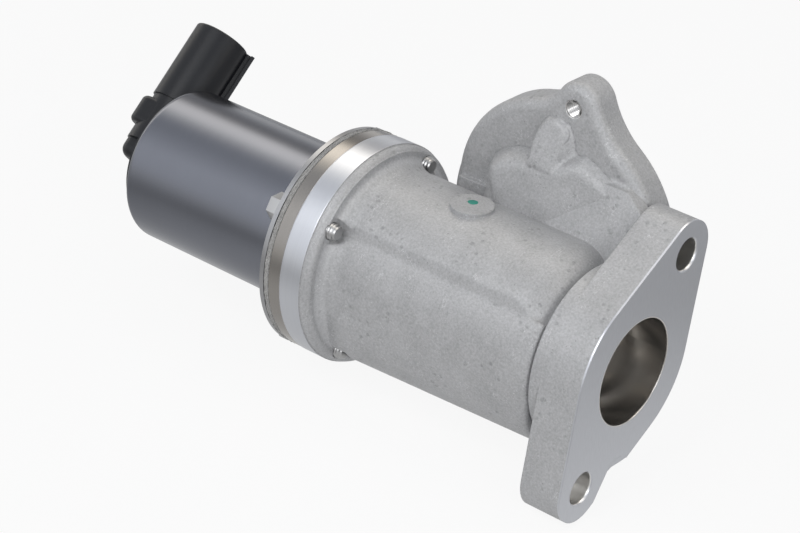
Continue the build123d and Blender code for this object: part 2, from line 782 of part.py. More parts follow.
# Coil bobbin and its winding
tube_radius = sleeve_radius + seat_fit + bobbin_wall
bobbin_flange_radius = can_bore - bobbin_clearance
winding_radius = bobbin_flange_radius - winding_clearance
with BuildPart() as coil_bobbin:
    disc_between(flux_front_back_x, bobbin_back_x, tube_radius)
    disc_between(flux_front_back_x, flux_front_back_x - bobbin_flange_thickness, bobbin_flange_radius)
    disc_between(bobbin_back_x + bobbin_flange_thickness, bobbin_back_x, bobbin_flange_radius)
    bore_between(flux_front_back_x, bobbin_back_x, sleeve_radius + seat_fit)
coil_bobbin.part.label = "coil_bobbin"
export_step(coil_bobbin.part, "parts/coil_bobbin.step")

with BuildPart() as coil_winding:
    winding_front_x = flux_front_back_x - bobbin_flange_thickness
    winding_back_x = bobbin_back_x + bobbin_flange_thickness
    disc_between(winding_front_x, winding_back_x, winding_radius)
    bore_between(winding_front_x, winding_back_x, tube_radius + seat_fit)
coil_winding.part.label = "coil_winding"
export_step(coil_winding.part, "parts/coil_winding.step")

# Armature on the stem's end, the fixed pole core behind it and the shim on the core's face
with BuildPart() as armature:
    disc_between(armature_front_x, armature_back_x, sleeve_bore - running_fit)
    chamfer(armature.edges().filter_by(GeomType.CIRCLE), length=0.6)
    bore_between(armature_front_x, armature_back_x, stem_radius + seat_fit)
armature.part.label = "armature"
export_step(armature.part, "parts/armature.step")

with BuildPart() as pole_core:
    disc_between(pole_front_x, flux_rear_back_x, sleeve_bore - seat_fit)
    bore_between(pole_front_x, pole_front_x - 2.0, stem_radius + stem_clearance)
pole_core.part.label = "pole_core"
export_step(pole_core.part, "parts/pole_core.step")

with BuildPart() as pole_shim:
    disc_between(pole_front_x + shim_thickness, pole_front_x, sleeve_bore - seat_fit)
    bore_between(pole_front_x + shim_thickness, pole_front_x, stem_radius + stem_clearance)
pole_shim.part.label = "pole_shim"
export_step(pole_shim.part, "parts/pole_shim.step")

# Waved washer that takes up the end play of the coil under the end cap
with BuildPart() as wave_washer:
    disc_between(flux_rear_back_x, cap_front_x, bobbin_flange_radius)
    bore_between(flux_rear_back_x, cap_front_x, lead_radius + terminal_clearance)
wave_washer.part.label = "wave_washer"
export_step(wave_washer.part, "parts/wave_washer.step")

# Terminals: blades that stand in the socket and run forward through the cap to the coil
terminal_run = bobbin_back_x - connector_x
terminal_rows = (-terminal_spacing / 2, terminal_spacing / 2)
with BuildPart() as terminals:
    with BuildSketch(connector_plane.offset(terminal_level)):
        with Locations([((terminal_run - terminal_thickness / 2) / 2, row) for row in terminal_rows]):
            Rectangle(terminal_run + terminal_thickness / 2, terminal_width)
    extrude(amount=terminal_thickness)
    with BuildSketch(connector_plane.offset(terminal_level)):
        with Locations([(0, row) for row in terminal_rows]):
            Rectangle(terminal_thickness, terminal_width)
    extrude(amount=terminal_height - terminal_level)
terminals.part.label = "terminals"
export_step(terminals.part, "parts/terminals.step")

# End cap and connector, one moulding: a disc in the can, a base behind it and a socket
cap_radius = can_bore - seat_fit
cap_ring_x = (cap_front_x + lip_front_x) / 2
barrel_bore = barrel_radius - barrel_wall
base_front_x = can_back_x - connector_x
with BuildPart() as connector_foot:
    with BuildSketch(connector_plane.offset(foot_low)):
        with Locations(((base_front_x - foot_back) / 2, 0)):
            RectangleRounded(base_front_x + foot_back, 2 * foot_half_width, foot_corner_radius)
    extrude(amount=base_high - foot_low - base_edge_radius)
    fillet(connector_foot.faces().sort_by(Axis.Z)[0].edges(), radius=foot_edge_radius)
with BuildPart() as connector_base:
    with BuildSketch(connector_plane.offset(base_low)):
        with Locations(((base_front_x - base_back) / 2, 0)):
            RectangleRounded(base_front_x + base_back, 2 * base_half_width, base_corner_radius)
    extrude(amount=base_high - base_low)
    fillet(connector_base.faces().sort_by(Axis.Z)[-1].edges(), radius=base_edge_radius)
with BuildPart() as connector_barrel:
    with BuildSketch(connector_plane.offset(barrel_foot)):
        Circle(barrel_radius)
    extrude(amount=connector_reach - barrel_foot)
    fillet(connector_barrel.faces().sort_by(Axis.Z)[-1].edges(), radius=barrel_edge_radius)
    with BuildSketch(connector_plane):
        Circle(barrel_radius - barrel_foot_step)
    extrude(amount=barrel_foot + 1.0)
with BuildPart() as connector_housing:
    disc_between(cap_front_x, lip_front_x, cap_radius)
    disc_between(lip_front_x, can_back_x - cap_step, can_lip_radius - seat_fit)
    add(connector_foot.part)
    add(connector_base.part)
    add(connector_barrel.part)
    # Lock rib: a rail that stands off the barrel on a narrower web
    rail_height = lock_rib_height - lock_rib_undercut
    rail_centre = barrel_radius + lock_rib_height - rail_height / 2
    with BuildSketch(connector_plane.offset(lock_rib_foot)):
        with PolarLocations(rail_centre, 1, start_angle=lock_rib_angle):
            Rectangle(rail_height, lock_rib_width)
        with PolarLocations(barrel_radius, 1, start_angle=lock_rib_angle):
            Rectangle(2 * lock_rib_undercut + 0.2, lock_rib_width / 2)
    extrude(amount=connector_reach - lock_rib_foot)
    with BuildSketch(connector_plane.offset(connector_reach)):
        Circle(barrel_bore)
    extrude(amount=-socket_mouth_depth, mode=Mode.SUBTRACT)
    with BuildSketch(connector_plane.offset(connector_reach)):
        Circle(barrel_bore - socket_step)
    extrude(amount=-socket_depth, mode=Mode.SUBTRACT)
    # Groove for the cap ring
    with BuildSketch(across(cap_ring_x - cap_ring_radius)):
        Circle(can_bore + 1.0)
        Circle(can_bore - 2 * cap_ring_radius, mode=Mode.SUBTRACT)
    extrude(amount=2 * cap_ring_radius, mode=Mode.SUBTRACT)
    # Slots that hold the terminals
    slot_width = terminal_width + 2 * seat_fit
    slot_height = terminal_thickness + 2 * seat_fit
    with BuildSketch(connector_plane.offset(terminal_level - seat_fit)):
        with Locations([((terminal_run + 1.0 - slot_height / 2) / 2, row) for row in terminal_rows]):
            Rectangle(terminal_run + 1.0 + slot_height / 2, slot_width)
    extrude(amount=slot_height, mode=Mode.SUBTRACT)
    with BuildSketch(connector_plane.offset(terminal_level)):
        with Locations([(0, row) for row in terminal_rows]):
            Rectangle(slot_height, slot_width)
    extrude(amount=terminal_height - terminal_level, mode=Mode.SUBTRACT)
connector_housing.part.label = "connector_housing"
export_step(connector_housing.part, "parts/connector_housing.step")

# Sealing ring between the end cap and the can
with BuildPart() as cap_ring:
    with BuildSketch(Plane.XY):
        with Locations((cap_ring_x, can_bore - cap_ring_radius)):
            Circle(cap_ring_radius - seat_fit)
    revolve(axis=Axis.X)
cap_ring.part.label = "cap_ring"
export_step(cap_ring.part, "parts/cap_ring.step")
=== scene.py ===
import json
import math
import bmesh
import bpy
from mathutils import Matrix, Vector


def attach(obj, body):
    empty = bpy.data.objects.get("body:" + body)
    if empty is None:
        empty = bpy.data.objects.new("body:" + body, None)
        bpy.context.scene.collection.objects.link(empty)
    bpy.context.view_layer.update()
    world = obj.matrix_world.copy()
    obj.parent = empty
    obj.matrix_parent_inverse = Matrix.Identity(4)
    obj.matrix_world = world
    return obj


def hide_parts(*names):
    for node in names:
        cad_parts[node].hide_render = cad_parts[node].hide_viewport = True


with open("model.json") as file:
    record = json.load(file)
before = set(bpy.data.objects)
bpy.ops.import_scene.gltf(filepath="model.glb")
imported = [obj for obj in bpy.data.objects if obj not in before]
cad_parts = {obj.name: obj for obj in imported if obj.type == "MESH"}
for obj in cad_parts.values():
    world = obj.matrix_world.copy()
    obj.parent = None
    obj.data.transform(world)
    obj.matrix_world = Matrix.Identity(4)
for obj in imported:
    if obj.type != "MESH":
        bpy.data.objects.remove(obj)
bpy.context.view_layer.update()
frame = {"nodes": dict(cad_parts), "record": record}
nodes = frame["nodes"]
mm = 0.001
print("frame loaded:", len(nodes), "solids")


# A socket that can be used in arithmetic: each operation adds a node
class Wire:
    def __init__(self, board, socket):
        self.board = board
        self.socket = socket

    def calc(self, operation, *others):
        inputs = {place: value for place, value in enumerate((self,) + others)}
        return self.board.node("ShaderNodeMath", {"operation": operation}, inputs)

    def reflected(self, operation, other):
        return self.board.node("ShaderNodeMath", {"operation": operation}, {0: other, 1: self})

    def __add__(self, other):
        return self.calc("ADD", other)

    def __radd__(self, other):
        return self.reflected("ADD", other)

    def __sub__(self, other):
        return self.calc("SUBTRACT", other)

    def __rsub__(self, other):
        return self.reflected("SUBTRACT", other)

    def __mul__(self, other):
        return self.calc("MULTIPLY", other)

    def __truediv__(self, other):
        return self.calc("DIVIDE", other)

    def rise(self, low, high):  # 0 below low, 1 above high
        inputs = {"Value": self, "From Min": low, "From Max": high, "To Min": 0.0, "To Max": 1.0}
        return self.board.node("ShaderNodeMapRange", {"clamp": True}, inputs)

    def band(self, low, high, soft):  # 1 between low and high
        return self.rise(low - soft, low) * (1 - self.rise(high, high + soft))

    def root(self):
        return self.calc("SQRT")

    def larger(self, other):
        return self.calc("MAXIMUM", other)


# Lays nodes in a tree: the settings first, then the values or links of the sockets
class NodeBoard:
    def __init__(self, tree):
        self.tree = tree

    def node(self, kind, settings, inputs, output=0):
        made = self.tree.nodes.new(kind)
        for name, value in settings.items():
            if name == "stops":
                ramp = made.color_ramp
                while len(ramp.elements) < len(value):
                    ramp.elements.new(0.5)
                for element, (position, colour) in zip(ramp.elements, value):
                    element.position = position
                    element.color = (*colour, 1.0)
            else:
                setattr(made, name, value)
        for place, value in inputs.items():
            socket = made.inputs[place]
            if isinstance(value, Wire):
                self.tree.links.new(value.socket, socket)
            elif isinstance(value, tuple) and len(value) == 3 and socket.type == "RGBA":
                socket.default_value = (*value, 1.0)
            else:
                socket.default_value = value
        return Wire(self, made.outputs[output]) if made.outputs else None

    def blend(self, mask, first, second):
        inputs = {0: mask, 6: first, 7: second}
        return self.node("ShaderNodeMix", {"data_type": "RGBA"}, inputs, 2)

    def tint(self, colour, factor):
        inputs = {0: 1.0, 6: colour, 7: factor}
        return self.node("ShaderNodeMix", {"data_type": "RGBA", "blend_type": "MULTIPLY"}, inputs, 2)


# A material whose patterns read object coordinates in millimetres
class Paint(NodeBoard):
    def __init__(self, name, colour, roughness, metallic=0.0, **fixed):
        self.material = bpy.data.materials.new(name)
        self.material.use_nodes = True
        super().__init__(self.material.node_tree)
        self.shader = self.tree.nodes["Principled BSDF"]
        self.shader.inputs["Base Color"].default_value = (*colour, 1.0)
        self.shader.inputs["Roughness"].default_value = roughness
        self.shader.inputs["Metallic"].default_value = metallic
        for socket, value in fixed.items():
            self.shader.inputs[socket.replace("_", " ")].default_value = value
        place = self.node("ShaderNodeTexCoord", {}, {}, "Object")
        self.place = self.node("ShaderNodeVectorMath", {"operation": "SCALE"}, {0: place, "Scale": 1 / mm})
        self.x = self.node("ShaderNodeSeparateXYZ", {}, {0: self.place}, "X")
        self.y = self.node("ShaderNodeSeparateXYZ", {}, {0: self.place}, "Y")
        self.z = self.node("ShaderNodeSeparateXYZ", {}, {0: self.place}, "Z")

    def noise(self, scale, detail=2.0, stretch=None):
        where = self.place
        if stretch:
            where = self.node("ShaderNodeVectorMath", {"operation": "MULTIPLY"}, {0: where, 1: stretch})
        return self.node("ShaderNodeTexNoise", {}, {"Vector": where, "Scale": scale, "Detail": detail})

    def cells(self, scale):
        return self.node("ShaderNodeTexVoronoi", {}, {"Vector": self.place, "Scale": scale}, "Distance")

    def toned(self, colour, tone):  # the colour made lighter or darker by a number
        shade = self.node("ShaderNodeCombineXYZ", {}, {0: tone, 1: tone, 2: tone})
        return self.tint(colour, shade)

    def bump(self, height, distance, strength=1.0, under=None):
        inputs = {"Height": height, "Distance": distance * mm, "Strength": strength}
        if under:
            inputs["Normal"] = under
        return self.node("ShaderNodeBump", {}, inputs, "Normal")

    def link(self, socket, wire):
        self.tree.links.new(wire.socket, self.shader.inputs[socket])

    def radius(self):
        return (self.y * self.y + self.z * self.z).root()

    def near(self, first, second, a, b):
        return ((first - a) * (first - a) + (second - b) * (second - b)).root()


castLook = {
    "colour": (0.486, 0.489, 0.497),
    "roughness": 0.5,
    "metallic": 0.24,
    "grain": 1.7,
    "mottle": 0.12,
    "skinDepth": 0.14,
    "softEdge": 0.5,
    "softBelly": 2.2,
}
machinedLook = {
    "colour": (0.57, 0.585, 0.62),
    "faceColour": (0.60, 0.614, 0.65),
    "holeColour": (0.86, 0.85, 0.83),
    "boreColour": (0.72, 0.70, 0.67),
    "metallic": 0.97,
    "roughness": 0.30,
    "boreRoughness": 0.18,
    "streaks": 0.14,
    # where each machined area begins and is full, in millimetres
    "inletFace": (-0.55, -0.45),
    "outletFace": (27.92, 27.96),
    "boreWall": (15.2, 15.3),
    "boreEnd": (-20.6, -20.4),
    "rimWall": (31.8, 31.85),
    "rimFront": (-86.76, -86.7),
    "rearFace": (-93.56, -93.52),
    "bolts": ((18.07, 27.61), (-18.07, -27.61)),
    "boltWall": (4.62, 4.66),
    "boltEnd": (-20.2, -20.0),
    "tapped": (-40.0, 54.48),
    "tappedWall": (2.62, 2.7),
    "tappedEnd": (10.0, 10.2),
    "threadPitch": 1.0,
}


# The flange faces, the bores, the rim and the holes, each as a mask
def machinedAreas(paint):
    look = machinedLook
    x, y, z = paint.x, paint.y, paint.z
    r = paint.radius()
    face = x.rise(*look["inletFace"])
    bore = (1 - r.rise(*look["boreWall"])) * x.rise(*look["boreEnd"])
    upper, lower = [1 - paint.near(y, z, *place).rise(*look["boltWall"]) for place in look["bolts"]]
    bolts = upper.larger(lower) * x.rise(*look["boltEnd"])
    tapped = (1 - paint.near(x, z, *look["tapped"]).rise(*look["tappedWall"])) * y.rise(*look["tappedEnd"])
    rim = r.rise(*look["rimWall"]) * (1 - x.rise(*look["rimFront"]))
    rear = 1 - x.rise(*look["rearFace"])
    everything = face.larger(y.rise(*look["outletFace"])).larger(bore).larger(rim).larger(rear)
    return face, bore, bolts.larger(tapped), tapped, everything.larger(bolts).larger(tapped)


def castAluminium():
    look, bare = castLook, machinedLook
    paint = Paint("castAluminium", look["colour"], look["roughness"], look["metallic"])
    x, y = paint.x, paint.y
    r = paint.radius()
    face, bore, holes, tapped, machined = machinedAreas(paint)

    # Rounded corners of the sand mould, widest where the belly meets the upper body
    valley = r.band(20.0, 27.2, 0.6) * x.band(-84.0, -18.0, 2.0) * (1 - y.rise(-13.0, -9.0))
    soft = look["softEdge"] + valley * (look["softBelly"] - look["softEdge"])
    rounded = paint.node("ShaderNodeBevel", {"samples": 6}, {"Radius": soft * mm}, "Normal")
    flat = paint.node("ShaderNodeNewGeometry", {}, {}, "Normal")
    agree = paint.node("ShaderNodeVectorMath", {"operation": "DOT_PRODUCT"}, {0: rounded, 1: flat}, "Value")
    edge = (1 - agree).rise(0.02, 0.25)
    # Painted highlight: the concave root fillet between the inlet flange's front and the body, made lighter
    # in the colour
    root = r.band(25.6, 28.4, 0.9) * x.band(-86.6, -83.2, 0.7)

    # Sand grain, oxide stains, small pits and pale scuffs, lighter edges, and a painted highlight on the
    # root fillet
    grain = paint.noise(look["grain"], 3.0)
    fine = paint.noise(look["grain"] * 2.4, 1.0)
    mottle = paint.noise(look["mottle"], 4.0)
    stainWhere = paint.noise(0.10, 3.0).rise(0.54, 0.60)
    stains = (1 - paint.cells(0.42).rise(0.16, 0.30)) * stainWhere
    pitWhere = paint.noise(0.23, 2.0).rise(0.58, 0.63)
    pits = (1 - paint.cells(0.9).rise(0.12, 0.2)) * pitWhere
    scratchWhere = paint.noise(0.16, 3.0).rise(0.55, 0.62)
    scratches = paint.noise(0.8, 2.0, (1.0, 0.18, 0.6)).band(0.485, 0.505, 0.008)
    scuffs = scratches * scratchWhere * fine.rise(0.42, 0.56)
    tone = 0.94 + (grain - 0.5) * 0.62 + (fine - 0.5) * 0.3 + (mottle - 0.5) * 0.3
    # root adds the painted highlight on the root fillet to the tone
    tone = tone + scuffs * 0.34 + edge * 0.10 + root * 0.2 - stains * 0.19 - pits * 0.28
    cast = paint.toned(look["colour"], tone)

    # Tool marks: rings in the bores, straight passes on the inlet face
    turning = paint.noise(1.0, 2.0, (9.0, 0.05, 0.05))
    milling = paint.noise(1.0, 2.0, (0.2, 3.0, 0.35))
    streaks = paint.blend(face, turning, milling)
    cut = paint.blend(face, bare["colour"], bare["faceColour"])
    cut = paint.blend(holes, cut, bare["holeColour"])
    cut = paint.blend(bore, cut, bare["boreColour"])
    bright = paint.tint(cut, paint.blend(bare["streaks"], (1.0, 1.0, 1.0), streaks))
    paint.link("Base Color", paint.blend(machined, cast, bright))
    paint.link("Metallic", look["metallic"] + machined * (bare["metallic"] - look["metallic"]))
    roughCast = look["roughness"] + (fine - 0.5) * 0.16 - scuffs * 0.12 + stains * 0.08
    roughBare = bare["roughness"] - bore * (bare["roughness"] - bare["boreRoughness"])
    paint.link("Roughness", roughCast * (1 - machined) + machined * roughBare)

    # Skin of the sand mould, and the deep end of the thread in the tapped hole
    height = (grain * 0.7 + fine * 0.4 - pits * 0.9 + scuffs * 0.3) * (1 - machined)
    thread = (y * (2 * math.pi / bare["threadPitch"])).calc("SINE") * tapped * 0.8
    tooling = turning * machined * (0.05 - face * 0.04)
    paint.link("Normal", paint.bump(height + thread + tooling, look["skinDepth"], 0.75, rounded))
    return paint.material


steelLook = {
    "can": {"colour": (0.180, 0.188, 0.214), "roughness": 0.24},
    "plate": {"colour": (0.35, 0.352, 0.36), "roughness": 0.32},
    "screw": {"colour": (0.45, 0.45, 0.45), "roughness": 0.3},
    "spacer": {"colour": (0.30, 0.284, 0.266), "roughness": 0.2},
}


def brushedSteel(name, look, across=6.0, along=0.06, depth=0.004):
    paint = Paint(name, look["colour"], look["roughness"], 1.0)
    lines = paint.noise(1.0, 3.0, (across, along, along))
    clouds = paint.noise(0.06, 2.0)
    tone = 0.96 + (lines - 0.5) * 0.10 + (clouds - 0.5) * 0.08
    paint.link("Base Color", paint.toned(look["colour"], tone))
    paint.link("Roughness", look["roughness"] + (lines - 0.5) * 0.08)
    paint.link("Normal", paint.bump(lines, depth, 0.5))
    return paint.material


def turnedMetal(name, colour, roughness):
    paint = Paint(name, colour, roughness, 1.0)
    rings = paint.noise(1.0, 2.0, (3.0, 0.3, 0.3))
    clouds = paint.noise(0.2, 2.0)
    tone = 0.95 + (rings - 0.5) * 0.12 + (clouds - 0.5) * 0.12
    paint.link("Base Color", paint.toned(colour, tone))
    paint.link("Roughness", roughness + (clouds - 0.5) * 0.1)
    paint.link("Normal", paint.bump(rings, 0.006, 0.5))
    return paint.material


fibreLook = {"dark": (0.30, 0.295, 0.285), "pale": (0.66, 0.655, 0.64), "roughness": 0.9}


def gasketFibre():
    look = fibreLook
    paint = Paint("gasketFibre", look["dark"], look["roughness"])
    fibres = paint.noise(2.6, 4.0, (1.6, 1.0, 1.0))
    specks = paint.noise(5.0, 2.0).rise(0.5, 0.62)
    mask = fibres.rise(0.36, 0.56) * (0.55 + specks * 0.45)
    paint.link("Base Color", paint.blend(mask, look["dark"], look["pale"]))
    paint.link("Normal", paint.bump(fibres + specks * 0.5, 0.25, 0.8))
    return paint.material


plasticLook = {
    "connector": {"colour": (0.009, 0.010, 0.013), "roughness": 0.34},
    "bobbin": {"colour": (0.05, 0.055, 0.065), "roughness": 0.5},
}


def mouldedPlastic(name, look):
    paint = Paint(name, look["colour"], look["roughness"], Specular_IOR_Level=0.32)
    skin = paint.noise(2.4, 2.0)
    clouds = paint.noise(0.12, 2.0)
    tone = 1.0 + (clouds - 0.5) * 0.3
    paint.link("Base Color", paint.toned(look["colour"], tone))
    paint.link("Roughness", look["roughness"] + (clouds - 0.5) * 0.12)
    paint.link("Normal", paint.bump(skin, 0.02, 0.35))
    return paint.material


def sealRubber():
    paint = Paint("sealRubber", (0.02, 0.02, 0.02), 0.6)
    skin = paint.noise(1.2, 2.0)
    paint.link("Roughness", 0.55 + skin * 0.12)
    paint.link("Normal", paint.bump(skin, 0.02, 0.4))
    return paint.material


copperLook = {"colour": (0.5, 0.2, 0.09), "roughness": 0.35, "metallic": 0.8, "wire": 0.7}


# Wound wire, its turns side by side along the X axis
def woundCopper():
    look = copperLook
    paint = Paint("woundCopper", look["colour"], look["roughness"], look["metallic"])
    turns = (paint.x * (2 * math.pi / look["wire"])).calc("SINE")
    paint.link("Roughness", 0.33 + turns * 0.05)
    paint.link("Normal", paint.bump(turns, 0.15, 0.9))
    return paint.material


dotLook = {
    "colour": (0.01, 0.20, 0.16),
    "thin": (0.006, 0.20, 0.155),
    "full": (0.010, 0.30, 0.225),
    "place": (-56.6, 1.0),
    "pad": 27.0,
    "radius": 1.4,
    "topShare": 0.86,
    "thick": 0.06,
    "wobble": (0.07, 0.05),
}


def dotPaint():
    look = dotLook
    paint = Paint("greenDotPaint", look["colour"], 0.4)
    smear = paint.noise(1.5, 2.0)
    paint.link("Roughness", 0.35 + smear * 0.15)
    paint.link("Base Color", paint.blend(smear, look["thin"], look["full"]))
    return paint.material


finishes = {
    "cast_housing": castAluminium(),
    "can_steel": brushedSteel("satinCanSteel", steelLook["can"]),
    "sheet_steel": brushedSteel("pressedSteel", steelLook["plate"]),
    "screw_steel": brushedSteel("screwSteel", steelLook["screw"], 2.0, 1.0),
    "spacer_alloy": brushedSteel("spacerAlloy", steelLook["spacer"]),
    "seat_steel": turnedMetal("seatSteel", (0.36, 0.35, 0.34), 0.35),
    "valve_steel": turnedMetal("valveSteel", (0.34, 0.33, 0.32), 0.32),
    "bearing_bronze": turnedMetal("sinteredBronze", (0.42, 0.27, 0.13), 0.5),
    "spring_steel": turnedMetal("springSteel", (0.32, 0.31, 0.3), 0.3),
    "magnet_iron": turnedMetal("softIron", (0.22, 0.22, 0.225), 0.45),
    "terminal_brass": turnedMetal("tinnedBrass", (0.6, 0.56, 0.46), 0.3),
    "gasket_fibre": gasketFibre(),
    "seal_rubber": sealRubber(),
    "bobbin_plastic": mouldedPlastic("bobbinNylon", plasticLook["bobbin"]),
    "connector_plastic": mouldedPlastic("connectorNylon", plasticLook["connector"]),
    "copper_wire": woundCopper(),
    "thread": turnedMetal("cutThread", (0.46, 0.455, 0.45), 0.2),
}
dotFinish = dotPaint()
for part in frame["record"]["subparts"]:
    data = nodes[part["node"]].data
    data.materials.clear()
    data.materials.append(finishes[part["material_slot"]])
print("finishes made:", len(finishes) + 1)


# An object of the scene made from a mesh in the making
def placed(name, mesh):
    data = bpy.data.meshes.new(name)
    mesh.to_mesh(data)
    mesh.free()
    made = bpy.data.objects.new(name, data)
    bpy.context.scene.collection.objects.link(made)
    return made


# A piece with its finish and the body that it rides on
def finishPiece(name, mesh, finish, body):
    bmesh.ops.remove_doubles(mesh, verts=mesh.verts, dist=0.5e-6)
    bmesh.ops.recalc_face_normals(mesh, faces=mesh.faces)
    piece = placed(name, mesh)
    piece.data.materials.append(finish)
    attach(piece, body)
    return piece


# Extrudes the faces and gives the new corners
def extruded(mesh, faces):
    grown = bmesh.ops.extrude_face_region(mesh, geom=faces)
    return [item for item in grown["geom"] if isinstance(item, bmesh.types.BMVert)]


# Writes what the modifiers make of a piece into its mesh
def applyModifiers(piece):
    graph = bpy.context.evaluated_depsgraph_get()
    skin = bpy.data.meshes.new_from_object(piece.evaluated_get(graph))
    piece.modifiers.clear()
    piece.data = skin


def smoothBy(piece, degrees):
    for face in piece.data.polygons:
        face.use_smooth = True
    piece.data.set_sharp_from_angle(angle=math.radians(degrees))


# Outline points as (along, radius), turned about a line along the X axis
def turned(mesh, outline, centre, steps, closed=True):
    corners = [mesh.verts.new((along * mm, centre[0], centre[1] + r * mm)) for along, r in outline]
    edges = [mesh.edges.new(pair) for pair in zip(corners, corners[1:])]
    if closed:
        edges.append(mesh.edges.new((corners[-1], corners[0])))
    bmesh.ops.spin(
        mesh, geom=corners + edges, cent=(0.0, centre[0], centre[1]), axis=(1.0, 0.0, 0.0),
        angle=2 * math.pi, steps=steps, use_merge=True, use_duplicate=False,
    )


screwLook = {
    "circle": 28.0,
    "first": 55.0,
    "radius": 2.5,
    "root": 2.08,
    "crest": 2.44,
    "crestSpan": (0.38, 0.55),
    "pitch": 0.8,
    "headBack": -104.3,
    "plateBack": -100.8,
    "plainEnd": -88.8,
    "threadStart": -88.4,
    "tip": -81.9,
    "flats": 7.0,
    "foot": 0.9,
    "chamfer": 0.35,
}


# Shank, rolled thread and chamfered tip, as (along, radius)
def screwOutline():
    look = screwLook
    outline = [(look["plateBack"], 0.0), (look["plateBack"], look["radius"])]
    outline.append((look["plainEnd"], look["radius"]))
    along = look["threadStart"]
    while along < look["tip"] - 1.0:
        outline.append((along, look["root"]))
        for share in look["crestSpan"]:
            outline.append((along + look["pitch"] * share, look["crest"]))
        along += look["pitch"]
    outline.append((along, look["root"]))
    outline.append((look["tip"] - look["chamfer"], look["root"]))
    outline.append((look["tip"], look["root"] - look["chamfer"]))
    outline.append((look["tip"], 0.0))
    return outline


# Four screws, each with a hexagon head behind the plate and a plain disc in the foot of the head
def flangeScrews():
    look = screwLook
    mesh = bmesh.new()
    plate, flat = look["plateBack"], look["flats"] / 2
    disc = [(plate, 0.0)] + [(plate - look["foot"] * share, flat) for share in (0, 0.5, 1)]
    disc.append((plate - look["foot"], 0.0))
    middle = (plate + look["headBack"]) / 2
    corner = look["flats"] / math.sqrt(3) * mm
    for step in range(4):
        angle = math.radians(look["first"] + 90.0 * step)
        centre = (look["circle"] * math.cos(angle) * mm, look["circle"] * math.sin(angle) * mm)
        turned(mesh, screwOutline(), centre, 24, closed=False)
        turned(mesh, disc, centre, 32, closed=False)
        made = bmesh.ops.create_cone(
            mesh, cap_ends=True, segments=6, radius1=corner, radius2=corner,
            depth=(plate - look["headBack"]) * mm,
        )
        verts = made["verts"]
        bmesh.ops.rotate(mesh, verts=verts, cent=(0, 0, 0), matrix=Matrix.Rotation(math.pi / 2, 3, "Y"))
        bmesh.ops.translate(mesh, verts=verts, vec=(middle * mm, centre[0], centre[1]))
        rims = [edge for edge in {e for v in verts for e in v.link_edges}
                if all(vert.co.x < middle * mm for vert in edge.verts)]
        bmesh.ops.bevel(mesh, geom=rims, offset=look["chamfer"] * mm, offset_type="OFFSET",
                        affect="EDGES", segments=2, profile=0.5, material=-1)
    piece = finishPiece("screwSet", mesh, finishes["screw_steel"], "housing")
    smoothBy(piece, 28)
    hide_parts("flange_screws")


flangeScrews()

gasketLook = {
    "inner": 14.0,
    "outer": 32.1,
    # both sides: the plane, where its worn edge ends and how far its flat reaches
    "front": (-97.55, -97.85, 31.5),
    "back": (-99.38, -99.1, 31.7),
    "middle": -98.45,
    "steps": 220,
    "ragged": 0.35,
}


# Gasket with a torn, fibrous rim
def raggedGasket():
    look = gasketLook
    mesh = bmesh.new()
    front, frontEdge, frontReach = look["front"]
    back, backEdge, backReach = look["back"]
    outline = [(front, look["inner"]), (front, frontReach), (frontEdge, look["outer"])]
    outline.append((look["middle"], look["outer"]))
    outline.extend([(backEdge, look["outer"]), (back, backReach), (back, look["inner"])])
    turned(mesh, outline, (0.0, 0.0), look["steps"])

    # Uneven waves push the rim in and out
    for vert in mesh.verts:
        reach = math.hypot(vert.co.y, vert.co.z) / mm
        if reach > look["outer"] - 0.7:
            turn = math.atan2(vert.co.z, vert.co.y)
            swing = math.sin(turn * 61 + vert.co.x * 9000) * math.sin(turn * 23 + 1.7)
            swing += 0.6 * math.sin(turn * 97 + vert.co.x * 14000 + 0.6) + 0.4 * math.sin(turn * 9)
            push = 1 + look["ragged"] * 0.5 * (swing - 0.9) / reach
            vert.co.y *= push
            vert.co.z *= push
    piece = finishPiece("fibreGasket", mesh, finishes["gasket_fibre"], "housing")
    smoothBy(piece, 50)
    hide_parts("flange_gasket")


raggedGasket()

# Corners as (x, z): the front outline on a leaning plane, and the foot inside the flange.
# frontPlane gives the plane's y, at which level z, and its lean; turned gives from which x it turns
# back towards the flange, and how steeply.
neckLook = {
    "frontPlane": (10.6, 24.0, 0.187),
    "turned": (-40.5, 0.15),
    "fold": (8, 17),
    "front": (
        (-54.0, 20.0), (-57.4, 25.0), (-60.0, 29.0), (-60.0, 32.0), (-57.6, 34.6), (-53.6, 36.2),
        (-49.0, 36.8), (-44.5, 37.1), (-40.5, 38.2), (-37.2, 39.8), (-34.6, 40.6), (-31.6, 39.8),
        (-28.0, 38.2), (-24.5, 37.2), (-20.0, 36.4), (-20.0, 28.0), (-24.0, 20.0), (-40.5, 20.0),
    ),
    "foot": (
        (-64.5, 18.0), (-65.2, 25.0), (-65.0, 29.6), (-63.6, 33.2), (-60.6, 36.2), (-56.2, 38.5),
        (-50.8, 39.7), (-45.0, 40.3), (-40.8, 41.4), (-37.0, 42.8), (-34.0, 43.4), (-30.6, 42.2),
        (-27.0, 40.2), (-23.6, 39.0), (-18.0, 38.0), (-18.0, 28.0), (-22.0, 18.0), (-41.0, 18.0),
    ),
    "footY": 18.8,
    "edge": 1.8,
}
ribLook = {
    "frontPlane": (16.9, 50.0, 0.31),
    "turned": (-43.0, 0.0),
    "fold": (),
    "front": (
        (-49.2, 36.8), (-49.4, 43.0), (-48.6, 46.6), (-46.8, 49.2), (-44.4, 50.0), (-41.6, 49.2),
        (-41.0, 46.0), (-41.2, 42.0), (-41.4, 36.8),
    ),
    "foot": (
        (-50.4, 36.0), (-50.6, 43.0), (-49.6, 47.4), (-47.6, 50.4), (-44.4, 51.2), (-40.0, 50.2),
        (-38.0, 46.6), (-37.0, 42.0), (-36.8, 36.0),
    ),
    "footY": 18.8,
    "edge": 0.5,
}
skinLook = {"cell": 0.5, "soft": 0.5, "rounds": 3}
